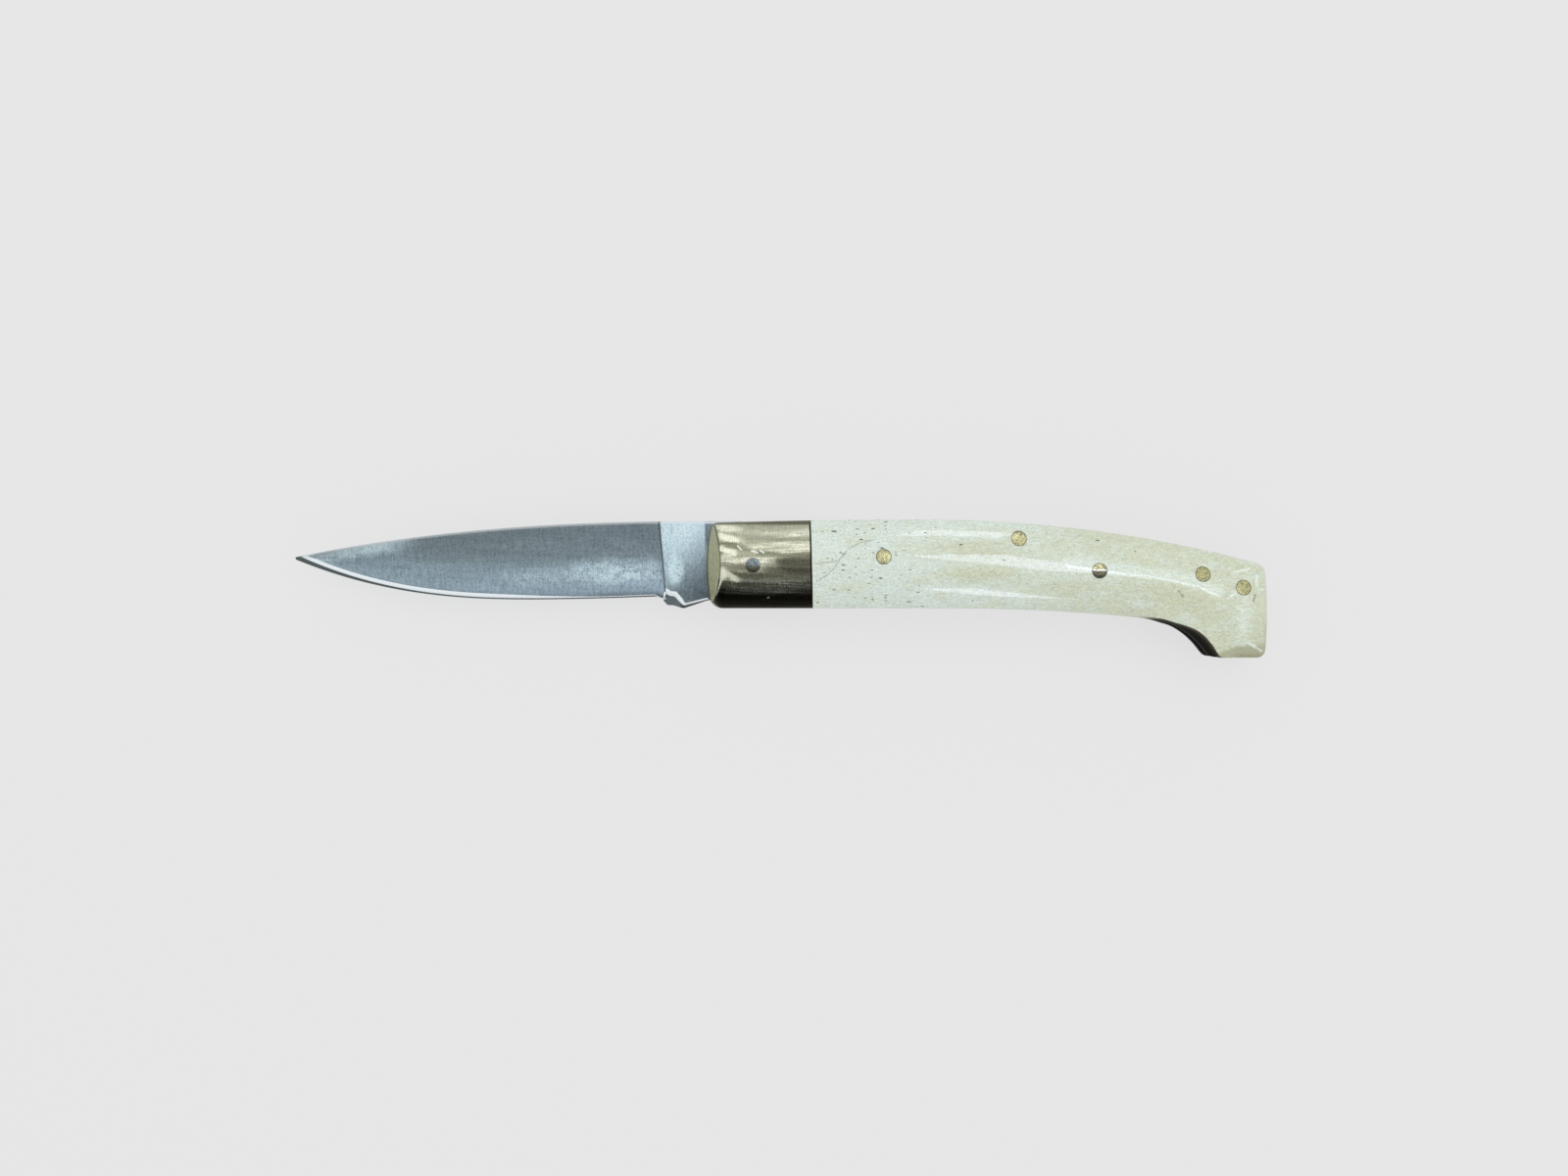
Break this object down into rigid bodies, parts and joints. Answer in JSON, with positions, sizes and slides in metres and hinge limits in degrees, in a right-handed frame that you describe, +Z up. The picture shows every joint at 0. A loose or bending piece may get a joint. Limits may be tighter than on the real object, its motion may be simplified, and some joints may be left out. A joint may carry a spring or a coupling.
{
  "type": "folding pocket knife",
  "caption": "Slip-joint folding pocket knife, open: slim hollow-ground steel blade, brass bolsters and pins, pale bone scales and a hooked butt.",
  "frame": {"origin": "on the ground under the middle of the open knife's box, the knife lying on its right side", "axes": "+X from the blade towards the butt, +Y from the edge towards the back, +Z up out of the mark side"},
  "size_m": [0.1978, 0.028, 0.0132],
  "materials": {
    "blade_steel": "satin, ground across the blade",
    "spring_steel": "satin",
    "pivot_steel": "filed flush and polished",
    "bolster_brass": "polished, fine scratches",
    "liner_brass": "plain rolled sheet",
    "pin_brass": "polished",
    "bone": "polished bone with fine pits and grain"
  },
  "bodies": {
    "handle": {"backspring": "spring_steel", "left_liner": "liner_brass", "right_liner": "liner_brass", "left_bolster": "bolster_brass", "right_bolster": "bolster_brass", "left_scale": "bone", "right_scale": "bone", "pivot_pin": "pivot_steel", "spring_pin": "pin_brass", "rear_pin": "pin_brass", "butt_pin": "pin_brass", "left_front_rivet": "pin_brass", "right_front_rivet": "pin_brass", "left_middle_rivet": "pin_brass", "right_middle_rivet": "pin_brass", "left_bolster_upper_stud": "pin_brass", "left_bolster_rear_stud": "pin_brass", "right_bolster_upper_stud": "pin_brass", "right_bolster_rear_stud": "pin_brass"},
    "blade": {"blade": "blade_steel"}
  },
  "joints": [
    {"name": "blade_pivot", "type": "hinge", "parent": "handle", "child": "blade", "pos_m": [-0.00495, 0.00468, 0.0066], "axis": [0, 0, 1], "range_deg": [0, 174], "deforming": ["backspring"]}
  ]
}
